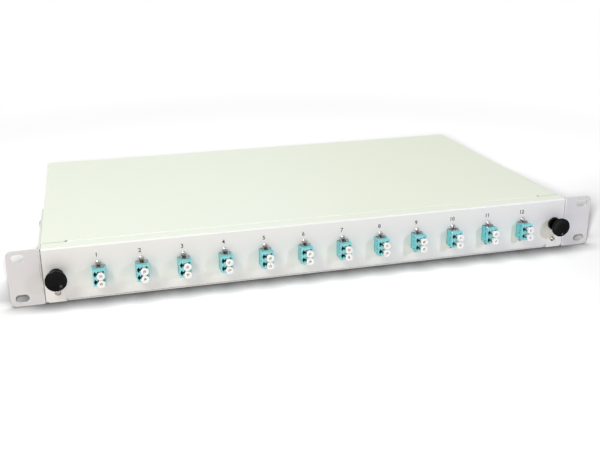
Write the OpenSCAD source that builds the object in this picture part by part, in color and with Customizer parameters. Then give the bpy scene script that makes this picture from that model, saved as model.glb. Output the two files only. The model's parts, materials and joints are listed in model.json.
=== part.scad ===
// One-unit sliding fibre patch panel: a folded steel case with adjustable rack ears,
// a drawer on side rails, twelve duplex couplers with dust caps and two push-pull latches.
// X runs to the right, Y to the rear and Z up. The origin is the centre of the four
// rack slots, on the rear face of the ears.

/* [Rack ears] */
// Overall width across both ears
rack_w = 482; // [478:0.5:484]
// Height of each ear
ear_h = 43.6; // [42:0.1:44.4]
// Thickness of the ear steel
ear_t = 1.5; // [1.2:0.1:2]
// Distance between the slot centres, left to right
slot_pitch_x = 465.1; // [464:0.1:466.5]
// Distance between the slot centres, bottom to top
slot_pitch_z = 31.75; // [31.5:0.05:32]
// End-to-end length of a rack slot
slot_l = 10; // [8:0.5:11]
// Width of a rack slot
slot_w = 6.4; // [5.6:0.1:7.2]
// Radius of the outer corners of an ear
ear_corner_r = 4; // [1:0.5:5]
// Outer radius of the fold of an ear
ear_fold_r = 2; // [1.6:0.1:3]
// Length of the side leg of an ear behind its front flange
ear_leg_l = 106; // [96:1:112]
// Height of the side leg of an ear
ear_leg_h = 40.4; // [38:0.2:41]
// Distance from the rack plane to the front pair of ear screws
ear_screw_y = 22; // [16:1:30]
// Distance between the front and rear ear screws
ear_screw_pitch_y = 64; // [50:1:70]
// Height of the ear screws above and below the middle
ear_screw_z = 12; // [11:0.5:13]
// Length of the adjusting slots in the leg
adjust_slot_l = 16; // [10:1:20]
// Radius of an ear screw shank
ear_screw_r = 2; // [1.5:0.1:2.2]
// Radius of an ear screw head
ear_screw_head_r = 3.9; // [3.6:0.1:4.5]
// Thickness of an ear screw head
ear_screw_head_h = 2.2; // [1.6:0.1:2.8]
// Thickness of an ear nut
ear_nut_t = 2; // [1.6:0.1:2]

/* [Case] */
// Outside width of the case
case_w = 433; // [428:0.5:434]
// Depth of the case behind the rack plane
case_d = 254.3; // [250:1:300]
// Height of the case
case_h = 43.15; // [42.6:0.05:43.4]
// Thickness of the case steel
wall = 1; // [0.8:0.1:1.2]
// Outer radius of the folds in the case and the drawer
fold_r = 1.6; // [1.4:0.1:2]
// Height of the pan flanges beside its floor
pan_flange_h = 14; // [13:0.5:15]
// Depth of the flange folded down at the front of the top
top_flange_h = 6; // [4:0.5:7]
// Half length of the front flange of the top
top_flange_x = 197; // [180:1:200]
// Depth of the flange folded down at the rear of the top
rear_flange_h = 10; // [8:0.5:11]
// Half length of the rear flange of the top
rear_flange_x = 205; // [180:1:210]
// Radius of the bend reliefs in the top
relief_r = 0.9; // [0.6:0.1:1.2]
// Width of the latch tab folded in at each side of the case mouth
latch_tab_w = 15; // [14.6:0.1:15.2]
// Height of the case screws above the case underside
case_screw_z = 6; // [5:0.5:9]
// Distance of the first screw in a case side behind the rack plane
case_screw_front = 130; // [110:1:145]
// Distance of the middle screw in a case side behind the rack plane
case_screw_middle = 190; // [170:1:200]
// Distance of the last screw in a case side from the case rear
case_screw_rear = 14.3; // [8:0.5:20]
// Distance between the screws in the case rear
rear_screw_pitch = 150; // [130:1:160]
// Radius of a case screw shank
case_screw_r = 1.5; // [1.2:0.1:1.8]
// Radius of a case screw head
case_screw_head_r = 2.8; // [2.4:0.1:3.2]
// Thickness of a case screw head
case_screw_head_h = 1.8; // [1.4:0.1:2.2]

/* [Drawer] */
// Thickness of the drawer steel
drawer_t = 1.2; // [1:0.1:1.4]
// Depth of the lip folded back along the top of the drawer front
lip_d = 12.5; // [10:0.5:16]
// Distance of the lower edge of the drawer front above the case underside
front_lift = 0.3; // [0.2:0.1:0.8]
// Radius of the lower corners of the drawer front
front_corner_r = 3; // [1:0.5:5]
// Gap between the drawer front and each ear
front_gap = 0.5; // [0.3:0.1:0.8]
// Radius of the rear corners of the lip
lip_corner_r = 1; // [0.5:0.1:3]
// Distance between the lip and the top of the case
lip_gap = 0.8; // [0.5:0.1:1.2]
// Half width of the drawer tray
tray_half = 200.8; // [199:0.2:201]
// Depth of the tray behind the rack plane
tray_d = 222; // [212:1:235]
// Height of the tray sides above its floor
tray_side_h = 36; // [34:0.5:36.5]
// Height of the upturned rear edge of the tray
tray_rear_h = 9; // [5:0.5:14]
// Distance between the cable tie slots in the tray floor
tie_slot_pitch = 46; // [40:1:60]
// Length of a cable tie slot in the tray floor
tie_slot_l = 12; // [10:0.5:16]
// Width of a cable tie slot
tie_slot_w = 3; // [2.5:0.5:5]
// Distance of the innermost cable tie slots from the middle
tie_slot_x = 60; // [50:1:64]
// Distance of the front row of cable tie slots behind the rack plane
tie_slot_front = 65; // [58:1:75]
// Distance of the rear row of cable tie slots from the rear edge of the tray
tie_slot_rear = 17; // [12:1:30]
// Travel of the drawer
drawer_travel = 180; // [150:1:190]

/* [Slides] */
// Height of the middle of the slides above the middle of the case
slide_z = 12; // [11.8:0.1:12.6]
// Height of the outer rail section
rail_h = 14; // [13.5:0.1:14.5]
// Depth of the outer rail section
rail_d = 10; // [9:0.5:10.5]
// Thickness of the rail steel
rail_t = 1.2; // [1:0.1:1.4]
// Height of the returned edges of the rail
rail_lip = 2; // [1.5:0.1:2.5]
// Length of the outer rail
rail_l = 236; // [225:1:245]
// Length of the runner
runner_l = 200; // [195:1:205]
// Length of each nylon glide
glide_l = 12; // [8:1:14]
// Thickness of a runner glide beside the runner
glide_wall = 1; // [0.8:0.1:1]
// Distance of the first rivet from the front end of the runner
runner_rivet_front = 28.5; // [20:0.5:36]
// Distance between the rivets of a runner
runner_rivet_pitch = 70; // [60:1:80]
// Radius of a runner rivet
runner_rivet_r = 0.9; // [0.7:0.05:1]
// Distance of the front rivet of a rail behind the rack plane
rail_rivet_front = 150; // [130:1:170]
// Distance of the rear rivet of a rail from its rear end
rail_rivet_rear = 19.3; // [12:0.1:30]
// Radius of a rail rivet
rivet_r = 1.6; // [1.2:0.1:2]
// Radius of the outer head of a rail rivet
rivet_head_r = 3; // [2.6:0.1:3.4]
// Radius of the inner head of a rail rivet
rivet_tail_r = 2.4; // [2.2:0.1:2.5]
// Thickness of the heads of a rail rivet
rivet_head_h = 1; // [0.7:0.1:1.1]

/* [Couplers] */
// Number of couplers
port_count = 12; // [4:1:12]
// Distance between couplers
port_pitch = 32; // [26:0.5:35]
// Height of the couplers relative to the middle of the case
coupler_z = -1.9; // [-3:0.1:0]
// Width of a coupler
coupler_w = 9.4; // [9.2:0.1:10]
// Height of a coupler
coupler_h = 13.2; // [12.8:0.1:14]
// Length of a coupler in front of the drawer front
coupler_front_l = 10; // [9:0.5:12]
// Length of a coupler behind its flange
coupler_rear_l = 11.8; // [10:0.1:14]
// Height of the coupler flange
coupler_flange_h = 22.4; // [21:0.1:23]
// Thickness of the coupler flange
coupler_flange_t = 2; // [1.6:0.1:2.4]
// Distance between the two coupler screws
coupler_screw_pitch = 17.9; // [17.4:0.1:18.4]
// Distance between the two ports of a coupler
bore_pitch = 6.25; // [6:0.05:6.4]
// Sideways offset of the ports in the coupler
bore_offset_x = 1; // [0.5:0.1:1.2]
// Width of a port
port_w = 4.9; // [4.6:0.1:5]
// Height of a port
port_h = 4; // [3.9:0.1:4.2]
// Thickness of the wall between the front and rear ports
web_t = 3; // [2:0.1:4]
// Width of the keyway beside each port
key_w = 2.75; // [2:0.05:2.8]
// Height of the keyway
key_h = 2.1; // [1.6:0.1:2.6]
// Width of the raised step across the keyway
key_step = 1.1; // [0.8:0.1:1.4]
// Size of the notch in the corner of a port
notch = 0.95; // [0.6:0.05:1.1]
// Size of the mould recesses in the side of a coupler
recess = 1; // [0.6:0.1:1.4]
// Length of the mould recesses
recess_l = 1.2; // [0.8:0.1:1.6]
// Distance of the mould recesses behind the coupler face
recess_back = 3.3; // [2:0.1:5]
// Height of the mould recesses above and below the coupler middle
recess_z = 1.9; // [1.4:0.1:2.4]
// Width of the leaf spring on a coupler
spring_w = 7.4; // [6.6:0.1:8]
// Length of the leaf spring
spring_l = 5.6; // [5:0.1:7]
// Thickness of the leaf spring
spring_t = 0.4; // [0.3:0.05:0.5]
// Width of a wing of the leaf spring
wing_w = 2; // [1.6:0.1:2.4]
// Length of a wing of the leaf spring
wing_l = 3; // [2.4:0.1:3.6]
// Distance of the wings behind the front end of the leaf spring
wing_start = 1.2; // [0.8:0.1:1.6]
// Radius of a coupler screw shank
coupler_screw_r = 1; // [0.8:0.1:1.1]
// Radius of a coupler screw head
coupler_screw_head_r = 1.9; // [1.6:0.1:2.1]
// Height of a coupler screw head
coupler_screw_head_h = 1.3; // [1:0.1:1.6]
// Thickness of a coupler nut
coupler_nut_t = 1.6; // [1.2:0.1:1.8]
// Length of a coupler screw behind the flange
coupler_screw_tail = 2.4; // [2:0.1:3]
// Outer radius of the sleeve holder in a port
holder_r = 1.5; // [1.4:0.05:1.6]
// Outer radius of the ceramic sleeve
sleeve_r = 1; // [0.9:0.02:1.1]
// Inner radius of the ceramic sleeve
sleeve_bore_r = 0.63; // [0.6:0.01:0.68]
// Length of the ceramic sleeve
sleeve_l = 11.4; // [10:0.1:12]

/* [Dust caps] */
// Radius of the round front of a dust cap
cap_r = 2.97; // [2.7:0.01:3]
// Distance that a dust cap stands in front of its coupler
cap_reach = 5; // [4:0.1:7]
// Radius of the stem of a dust cap
cap_stem_r = 1.7; // [1.5:0.05:1.72]
// Length of the stem inside the port
cap_stem_l = 6; // [5:0.1:6.1]
// Length of the pin that reaches into the ceramic sleeve
cap_pin_l = 3.2; // [2:0.1:4]
// Thickness of the rim of a dust cap
cap_rim_t = 0.8; // [0.5:0.1:1.2]
// Radius of the mouth of the dimple in a dust cap
cap_dimple_r = 1.35; // [1:0.05:1.6]
// Depth of the dimple in a dust cap
cap_dimple_d = 3.2; // [2:0.1:4]

/* [Latches] */
// Distance of the latches from the middle of the case
latch_x = 207; // [206.6:0.1:207.4]
// Radius of the knob of a latch
knob_r = 8; // [7:0.1:8.6]
// Distance of the knob face in front of the drawer front
knob_reach = 12.5; // [11.5:0.1:15]
// Radius of the neck behind the knob
knob_neck_r = 3.6; // [3:0.1:4]
// Thickness of the knob rim
knob_rim_t = 2; // [1.5:0.1:2.5]
// Depth of the dish in the knob face
knob_dish_d = 1.6; // [1:0.1:2.2]
// Radius of the latch shaft
shaft_r = 2; // [1.6:0.05:2.2]
// Radius of the collar of a latch bush
bush_collar_r = 5.6; // [5:0.1:6]
// Thickness of the collar of a latch bush
bush_collar_t = 2.2; // [1.6:0.1:2.6]
// Radius of the legs of a latch bush
bush_leg_r = 4; // [3.6:0.1:4]
// Length of the legs of a latch bush behind the drawer front
bush_leg_l = 7; // [5:0.1:9]
// Width of the slits between the legs
bush_slit_w = 1.2; // [0.8:0.1:1.6]
// Travel of a latch
latch_travel = 6; // [4:0.5:7]
// Length of the shaft that stays behind the drawer front when the latch is pulled
shaft_stay = 2; // [1.5:0.1:3]
// Depth of the lock screws below the latches
lock_screw_drop = 13.8; // [13:0.1:14.5]
// Radius of a lock screw shank
lock_screw_r = 1.25; // [1:0.05:1.5]
// Radius of a lock screw head
lock_screw_head_r = 2.3; // [2:0.1:2.6]
// Thickness of a lock screw head
lock_screw_head_h = 1.4; // [1:0.1:1.8]
// Length of a lock screw behind the ear
lock_screw_tail = 3; // [2:0.1:5]

/* [Cable entries] */
// Distance of the cable glands from the middle
gland_x = 120; // [100:1:140]
// Distance of the blanking plugs from the middle
plug_x = 170; // [160:1:180]
// Height of the cable entries relative to the middle of the case
entry_z = -4; // [-5:0.1:-3]
// Radius of the gland thread
gland_thread_r = 10; // [9:0.1:10.4]
// Distance across the flats of the gland hexagon
gland_flats = 24; // [22:0.5:25]
// Thickness of the gland hexagon
gland_hex_t = 5.5; // [4:0.1:7]
// Length of the gland thread inside the case
gland_inner_l = 8; // [6:0.1:9]
// Radius of the cable passage in the seal
cable_r = 4.5; // [3.5:0.1:5]
// Radius of the passage through the gland
gland_bore_r = 6.5; // [6:0.1:7]
// Length of the seal in the gland
seal_l = 8; // [6:0.1:9]
// Length of the gland cap
gland_cap_l = 15; // [13:0.1:18]
// Length of the hexagon on the gland cap
cap_hex_l = 7; // [5:0.5:9]
// Thickness of the nut inside the case
gland_nut_t = 4; // [3:0.5:6]
// Thickness of the head of a blanking plug
plug_head_t = 2; // [1.5:0.1:3]
// Length of the barrel of a blanking plug inside the case
plug_barrel_l = 6; // [4:0.5:9]

/* [Fibre storage] */
// Width of the splice cassette
cassette_w = 150; // [130:1:160]
// Depth of the splice cassette
cassette_d = 98; // [90:1:104]
// Height of the wall of the splice cassette
cassette_h = 10; // [9:0.5:14]
// Thickness of the cassette plastic
cassette_t = 1.6; // [1.2:0.1:2]
// Corner radius of the cassette
cassette_r = 22; // [15:1:30]
// Distance of the middle of the cassette behind the rack plane
cassette_y = 146; // [135:1:155]
// Width of a fibre entry in the wall of the cassette
entry_w = 12; // [8:0.5:16]
// Radius of the finger notches in the lid
finger_r = 8; // [6:0.5:10]
// Radius of the fibre spools in the cassette
spool_r = 20; // [15:0.5:22]
// Distance of the spools from the middle of the cassette
spool_x = 46; // [42:0.5:50]
// Number of splice places in the holder
splice_count = 12; // [6:1:12]
// Distance between splice places
splice_pitch = 3.2; // [3:0.1:3.6]
// Thickness of the outer ribs of the splice holder beside its places
holder_side = 0.6; // [0.4:0.1:1.2]
// Height of the splice holder
holder_h = 5; // [4:0.5:7]
// Thickness of a rib of the splice holder
rib_t = 1; // [0.6:0.1:1.2]
// Length of the splice holder
holder_l = 44; // [36:1:46]
// Width of a fibre clip
clip_w = 16; // [12:0.5:20]
// Height of a fibre clip
clip_h = 14; // [10:0.5:16]
// Depth of a fibre clip
clip_d = 8; // [6:0.5:10]
// Thickness of a fibre clip
clip_t = 1.6; // [1.2:0.1:2]
// Sideways distance of the fibre clips from the middle
clip_x = 140; // [125:1:150]
// Radius of the corners of a fibre clip
clip_corner_r = 3; // [2:0.5:4]
// Width of the slit in a fibre clip
clip_slit = 2; // [1:0.5:3]
// Distance of the front fibre clips behind the rack plane
clip_front = 40; // [34:1:48]
// Distance of the rear fibre clips from the rear edge of the tray
clip_rear = 22; // [16:1:30]

/* [Hidden] */
function two_digits(k) = k < 10 ? str("0", k) : str(k);
$fn = 48;

// Clearances
seat_gap = 0.3;
slide_gap = 0.3;
fit_gap = 0.05;
screw_gap = 0.15;

// Distance that a cutting solid runs past what it cuts
cut = 1;

// Levels and lines that the pieces share
case_half = case_w / 2;
bottom_z = -ear_h / 2;
top_z = bottom_z + case_h;
floor_z = bottom_z + wall;
roof_z = top_z - wall;
front_y = -ear_t;
front_back_y = front_y + drawer_t;
tab_y = front_back_y + seat_gap;
front_half = case_half - front_gap;
lip_end_y = front_y + lip_d;
top_front_y = lip_end_y + lip_gap;
shell_inner = case_half - wall;
tray_floor_z = floor_z + slide_gap;
tray_top_z = tray_floor_z + drawer_t;
tray_inner = tray_half - drawer_t;
pan_rear_y = case_d - wall;
case_screw_y = [case_screw_front, case_screw_middle, case_d - case_screw_rear];
rear_screw_x = [-rear_screw_pitch, 0, rear_screw_pitch];
rear_screw_z = top_z - 0.6 * rear_flange_h;
screw_spare = 2;

// Slides
rail_x = shell_inner;
rail_in = rail_x - rail_d;
rail_y = tab_y + wall + seat_gap;
runner_y = rail_y + 0.2;
runner_head_x = rail_x - rail_t - ear_nut_t - seat_gap - glide_wall - rail_t;
runner_head_h = rail_h - 2 * rail_t - 2 * slide_gap - 0.8;
runner_neck_t = 1.6;
runner_web_h = rail_h - 2 * rail_t - 2 * rail_lip - 2 * slide_gap;
runner_rivet_z = 0.3 * runner_web_h;
rear_glide_y = rail_y + glide_l + drawer_travel + seat_gap;
rail_rivet_y = [rail_rivet_front, rail_y + rail_l - rail_rivet_rear];
runner_rivet_y = [for (k = [0:2]) runner_y + runner_rivet_front + k * runner_rivet_pitch];

// Couplers
coupler_front_y = front_y - coupler_front_l;
flange_y = front_back_y;
flange_end_y = flange_y + coupler_flange_t;
coupler_end_y = flange_end_y + coupler_rear_l;
web_y = (coupler_front_y + coupler_end_y) / 2;
holder_end = web_y - (coupler_front_y + cap_stem_l + seat_gap);
recess_y = coupler_front_y + recess_back;
port_x = [for (k = [1:port_count]) (k - (port_count + 1) / 2) * port_pitch];

// Latches and screws in the drawer front
latch_z = bottom_z + ear_h / 2;
lock_screw_z = latch_z - lock_screw_drop;
knob_back_y = front_y - bush_collar_t - 0.2;
knob_face_y = front_y - knob_reach;
shaft_end_y = front_back_y + latch_travel + shaft_stay;

// Tray
tray_side_y = front_back_y + 3;
tray_step_x = tray_half + 0.4;
tie_slot_y = [tie_slot_front, tray_d - tie_slot_rear];
clip_y = [clip_front, tray_d - clip_rear];

// Cable entries
outer_thread_r = gland_thread_r - 0.5;
seal_r = gland_thread_r - 2;
gland_out_y = pan_rear_y + gland_hex_t;
gland_thread_end_y = gland_out_y + seal_l + 1.5;

// Splice storage
cassette_top_z = tray_top_z + cassette_h;
holder_w = splice_count * splice_pitch + 2 * holder_side;

// Extrusions of a flat outline: drawn in X and Z, in Y and Z, or in X and Y
module along_y(y0, y1) {
    translate([0, y1, 0])
        rotate([90, 0, 0])
            linear_extrude(y1 - y0)
                children();
}

module along_x(x0, x1) {
    translate([x0, 0, 0])
        rotate([90, 0, 90])
            linear_extrude(x1 - x0)
                children();
}

module along_z(z0, z1) {
    translate([0, 0, z0])
        linear_extrude(z1 - z0)
            children();
}

// Box from its lowest to its highest corner
module block(low, high) {
    translate(low)
        cube(high - low);
}

// Rod along Y, and rod along X
module rod_y(x, z, r, y0, y1) {
    translate([x, y1, z])
        rotate([90, 0, 0])
            cylinder(r = r, h = y1 - y0);
}

module rod_x(y, z, r, x0, x1) {
    translate([x0, y, z])
        rotate([0, 90, 0])
            cylinder(r = r, h = x1 - x0);
}

// Turned piece about a line along Y: the outline gives radius and Y
module turned_y(x, z) {
    translate([x, 0, z])
        rotate([-90, 0, 0])
            rotate_extrude()
                children();
}

// Copies on both sides
module both_sides() {
    children();
    mirror([1, 0, 0])
        children();
}

// Flat rectangle with round corners
module rounded(w, h, r) {
    square([w - 2 * r, h], center = true);
    square([w, h - 2 * r], center = true);
    for (x = [-1, 1], y = [-1, 1])
        translate([x * (w / 2 - r), y * (h / 2 - r)])
            circle(r);
}

// Flat slot with round ends
module slot(l, w) {
    square([l - w, w], center = true);
    for (s = [-1, 1])
        translate([s * (l - w) / 2, 0])
            circle(w / 2);
}

// Quarter of a fold in the third quadrant, its inner centre at the origin
module fold_quarter(r, t) {
    intersection() {
        difference() {
            circle(r);
            circle(r - t);
        }
        translate([-r, -r])
            square(r);
    }
}

// Outline that a corner of radius r leaves out, its corner at the origin, first quadrant
module corner_waste(r) {
    difference() {
        translate([-cut, -cut])
            square(r + cut);
        translate([r, r])
            circle(r);
    }
}

// Flat section of a channel that opens upwards, its outer floor on the X axis
module channel(w, h, t, r) {
    difference() {
        union() {
            translate([-w / 2, r])
                square([w, h - r]);
            translate([r - w / 2, 0])
                square([w - 2 * r, h]);
            for (s = [-1, 1])
                translate([s * (w / 2 - r), r])
                    circle(r);
        }
        translate([t - w / 2, r])
            square([w - 2 * t, h]);
        translate([r - w / 2, t])
            square([w - 2 * r, h]);
        for (s = [-1, 1])
            translate([s * (w / 2 - r), r])
                circle(r - t);
    }
}

// Screw along Y whose head faces the front: its seat is at y, its shank runs to y_end
module screw_y(x, z, y, y_end, r, head_r, head_h) {
    recess_w = head_r * 0.32;
    difference() {
        union() {
            turned_y(x, z)
                polygon([[0, y - head_h], [head_r * 0.62, y - head_h],
                         [head_r, y - head_h * 0.45], [head_r, y], [0, y]]);
            rod_y(x, z, r, y, y_end);
        }
        for (turn = [0, 90])
            translate([x, y - head_h, z])
                rotate([0, turn, 0])
                    cube([head_r * 1.1, head_h, recess_w], center = true);
    }
}

// Screw along X whose head faces outwards on the right: its seat is at x
module screw_x(y, z, x, x_end, r, head_r, head_h) {
    recess_w = head_r * 0.32;
    difference() {
        union() {
            translate([x, y, z])
                rotate([0, 90, 0])
                    rotate_extrude()
                        polygon([[0, 0], [head_r, 0], [head_r, head_h * 0.45],
                                 [head_r * 0.62, head_h], [0, head_h]]);
            rod_x(y, z, r, x_end, x);
        }
        for (turn = [0, 90])
            translate([x + head_h, y, z])
                rotate([turn, 0, 0])
                    cube([head_h, head_r * 1.1, recess_w], center = true);
    }
}

// Top and sides of the case, with the latch tabs at its mouth
module case_shell() {
    color("whitesmoke")
        difference() {
            union() {
                shell_sheet();
                both_sides()
                    block([case_half - latch_tab_w, tab_y, floor_z + seat_gap],
                          [shell_inner + wall / 2, tab_y + wall, top_z - drawer_t - seat_gap]);
                along_x(-top_flange_x, top_flange_x)
                    top_fold(top_flange_h);
                translate([0, case_d + top_front_y, 0])
                    mirror([0, 1, 0])
                        along_x(-rear_flange_x, rear_flange_x)
                            top_fold(rear_flange_h);
            }
            both_sides() {
                latch_tab_holes();
                side_holes();
            }
            for (x = rear_screw_x)
                rod_y(x, rear_screw_z, case_screw_r + screw_gap, pan_rear_y - cut, case_d + cut);
        }
}

// Top and sides as one sheet, cut back where its front and rear edges are folded down
module shell_sheet() {
    difference() {
        along_y(tab_y, case_d)
            translate([0, top_z])
                mirror([0, 1])
                    channel(case_w, case_h, wall, fold_r);
        block([-case_half - cut, -cut, top_z - drawer_t - seat_gap],
              [case_half + cut, top_front_y, top_z + cut]);
        block([-top_flange_x - 2 * relief_r, -cut, roof_z - wall / 2],
              [top_flange_x + 2 * relief_r, top_front_y + fold_r, top_z + cut]);
        for (s = [-1, 1])
            translate([s * (top_flange_x + relief_r), top_front_y + fold_r, 0])
                along_z(roof_z - cut, top_z + cut)
                    circle(relief_r);
        block([-rear_flange_x - relief_r, case_d - fold_r, roof_z - wall / 2],
              [rear_flange_x + relief_r, case_d + cut, top_z + cut]);
    }
}

// Holes in a latch tab: latch bush, lock screw and the window that the runner passes
module latch_tab_holes() {
    rod_y(latch_x, latch_z, bush_leg_r + seat_gap, tab_y - cut, tab_y + wall + cut);
    rod_y(latch_x, lock_screw_z, lock_screw_r + seat_gap, tab_y - cut, tab_y + wall + cut);
    block([case_half - latch_tab_w - cut, tab_y - cut, slide_z - rail_h / 2],
          [runner_head_x + rail_t + 1, tab_y + wall + cut, slide_z + rail_h / 2]);
}

// Rounded front edge of the top with its flange of depth h, as a section in Y and Z
module top_fold(h) {
    translate([top_front_y + fold_r, top_z - fold_r])
        mirror([0, 1])
            fold_quarter(fold_r, wall);
    translate([top_front_y, top_z - h])
        square([wall, h - fold_r]);
}

// Holes through a case side: ear screws, case screws and rail rivets
module side_holes() {
    for (y = [0, ear_screw_pitch_y], s = [-1, 1])
        rod_x(ear_screw_y + y, s * ear_screw_z, ear_screw_r + screw_gap,
              shell_inner - rail_t - wall - cut, case_half + cut);
    for (y = case_screw_y)
        rod_x(y, bottom_z + case_screw_z, case_screw_r + screw_gap,
              shell_inner - wall - cut, case_half + cut);
    for (y = rail_rivet_y)
        rod_x(y, slide_z, rivet_r + fit_gap, shell_inner - rail_t - cut, case_half + cut);
}

// Floor, side flanges and rear wall of the case
module base_pan() {
    pan_w = 2 * shell_inner;
    color("whitesmoke")
        difference() {
            union() {
                along_y(tab_y, pan_rear_y)
                    translate([0, bottom_z])
                        channel(pan_w, pan_flange_h, wall, fold_r);
                block([-shell_inner, pan_rear_y - wall, bottom_z + fold_r],
                      [shell_inner, pan_rear_y, roof_z - fold_r + wall]);
                along_x(-shell_inner + fold_r, shell_inner - fold_r)
                    translate([pan_rear_y - fold_r, bottom_z + fold_r])
                        mirror([1, 0])
                            fold_quarter(fold_r, wall);
            }
            // Round outer edge along the fold of the rear wall
            along_x(-shell_inner - cut, shell_inner + cut)
                translate([pan_rear_y, bottom_z])
                    mirror([1, 0])
                        corner_waste(fold_r);
            both_sides() {
                block([case_half - latch_tab_w - seat_gap, tab_y - cut, bottom_z - cut],
                      [case_half, tab_y + wall + seat_gap, bottom_z + pan_flange_h + cut]);
                side_holes();
                for (x = [gland_x, plug_x])
                    rod_y(x, entry_z, gland_thread_r + screw_gap, pan_rear_y - wall - cut,
                          pan_rear_y + cut);
            }
            for (x = rear_screw_x)
                rod_y(x, rear_screw_z, case_screw_r + screw_gap, pan_rear_y - wall - cut,
                      pan_rear_y + cut);
        }
}

// Screws that hold the shell to the pan, at the sides and at the rear
module case_screws() {
    color("silver") {
        both_sides()
            for (y = case_screw_y)
                screw_x(y, bottom_z + case_screw_z, case_half, shell_inner - wall - screw_spare,
                        case_screw_r, case_screw_head_r, case_screw_head_h);
        for (x = rear_screw_x)
            translate([0, 2 * case_d, 0])
                mirror([0, 1, 0])
                    screw_y(x, rear_screw_z, case_d, case_d + 2 * wall + screw_spare, case_screw_r,
                            case_screw_head_r, case_screw_head_h);
    }
}

// Folded rack ear on the right: a slotted front flange and a side leg
module ear() {
    difference() {
        union() {
            intersection() {
                along_z(-ear_h / 2, ear_h / 2) {
                    translate([case_half + ear_fold_r, front_y])
                        square([rack_w / 2 - case_half - ear_fold_r, ear_t]);
                    translate([case_half + ear_fold_r, front_y + ear_fold_r])
                        fold_quarter(ear_fold_r, ear_t);
                }
                along_y(front_y - cut, ear_leg_l + cut)
                    rounded(rack_w, ear_h, ear_corner_r);
            }
            intersection() {
                block([case_half, front_y + ear_fold_r, -ear_leg_h / 2],
                      [case_half + ear_t, ear_leg_l, ear_leg_h / 2]);
                along_x(case_half - cut, case_half + ear_t + cut)
                    translate([ear_leg_l - rack_w / 2, 0])
                        rounded(rack_w, ear_leg_h, ear_corner_r);
            }
        }
        for (s = [-1, 1])
            along_y(front_y - cut, cut)
                translate([slot_pitch_x / 2, s * slot_pitch_z / 2])
                    slot(slot_l, slot_w);
        for (y = [0, ear_screw_pitch_y], s = [-1, 1])
            along_x(case_half - cut, case_half + ear_t + cut)
                translate([ear_screw_y + y, s * ear_screw_z])
                    slot(adjust_slot_l, 2 * (ear_screw_r + screw_gap));
    }
}

module ear_right() {
    color("gainsboro")
        ear();
}

module ear_left() {
    color("gainsboro")
        mirror([1, 0, 0])
            ear();
}

// Screws through the ears and the case sides
module ear_screws() {
    color("silver")
        both_sides()
            for (y = [0, ear_screw_pitch_y], s = [-1, 1])
                screw_x(ear_screw_y + y, s * ear_screw_z, case_half + ear_t,
                        shell_inner - ear_nut_base(s) - ear_nut_t, ear_screw_r,
                        ear_screw_head_r, ear_screw_head_h);
}

// Metal between the case side and an ear nut: the rail above, the pan flange below
function ear_nut_base(s) = s > 0 ? rail_t : wall;

// Thin hexagon nuts on the ear screws, on the rails above and on the pan flange below
module ear_nuts() {
    color("silver")
        both_sides()
            for (y = [0, ear_screw_pitch_y], s = [-1, 1])
                translate([shell_inner - ear_nut_base(s) - ear_nut_t, ear_screw_y + y,
                           s * ear_screw_z])
                    rotate([0, 90, 0])
                        difference() {
                            cylinder(r = ear_screw_r * 1.85, h = ear_nut_t, $fn = 6);
                            translate([0, 0, -cut])
                                cylinder(r = ear_screw_r + fit_gap, h = ear_nut_t + 2 * cut);
                        }
}

// Outer rail on the right: a channel with returned edges that opens towards the drawer
module rail() {
    low_z = slide_z - rail_h / 2;
    difference() {
        along_y(rail_y, rail_y + rail_l)
            difference() {
                translate([rail_in, low_z])
                    square([rail_d, rail_h]);
                translate([rail_in + rail_t, low_z + rail_t])
                    square([rail_d - 2 * rail_t, rail_h - 2 * rail_t]);
                translate([rail_in - cut, low_z + rail_t + rail_lip])
                    square([rail_t + 2 * cut, rail_h - 2 * rail_t - 2 * rail_lip]);
            }
        side_holes();
    }
}

module rail_right() {
    color("lightsteelblue")
        rail();
}

module rail_left() {
    color("lightsteelblue")
        mirror([1, 0, 0])
            rail();
}

// Rivets that hold the rails to the case sides
module rail_rivets() {
    color("silver")
        both_sides()
            for (y = rail_rivet_y) {
                rod_x(y, slide_z, rivet_r, shell_inner - rail_t, case_half);
                rod_x(y, slide_z, rivet_head_r, case_half, case_half + rivet_head_h);
                rod_x(y, slide_z, rivet_tail_r, shell_inner - rail_t - rivet_head_h,
                      shell_inner - rail_t);
            }
}

// Outline of the room that a runner leaves in a rail, in X and Z
module runner_room() {
    translate([tray_half - cut, slide_z - runner_neck_t / 2 - slide_gap])
        square([runner_head_x - tray_half + 2 * cut, runner_neck_t + 2 * slide_gap]);
    translate([runner_head_x - slide_gap, slide_z - runner_head_h / 2 - slide_gap])
        square([rail_t + 2 * slide_gap, runner_head_h + 2 * slide_gap]);
}

// Nylon glides in the mouths of the rails, which guide the runners
module rail_glides() {
    color("ivory")
        both_sides()
            along_y(rail_y, rail_y + glide_l)
                difference() {
                    translate([rail_in + rail_t, slide_z - rail_h / 2 + rail_t])
                        square([rail_d - 2 * rail_t, rail_h - 2 * rail_t]);
                    runner_room();
                }
}

// Runner on the right: a web on the tray side, a neck and a head inside the rail
module runner() {
    difference() {
        along_y(runner_y, runner_y + runner_l) {
            translate([tray_half, slide_z - runner_web_h / 2])
                square([rail_t, runner_web_h]);
            translate([tray_half + rail_t, slide_z - runner_neck_t / 2])
                square([runner_head_x - tray_half - rail_t, runner_neck_t]);
            translate([runner_head_x, slide_z - runner_head_h / 2])
                square([rail_t, runner_head_h]);
        }
        runner_holes();
    }
}

// Rivet holes through the runner web and the tray side
module runner_holes() {
    for (y = runner_rivet_y, s = [-1, 1])
        rod_x(y, slide_z + s * runner_rivet_z, runner_rivet_r + fit_gap,
              tray_inner - cut, tray_half + rail_t + cut / 2);
}

module runner_right() {
    color("lightsteelblue")
        runner();
}

module runner_left() {
    color("lightsteelblue")
        mirror([1, 0, 0])
            runner();
}

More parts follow.
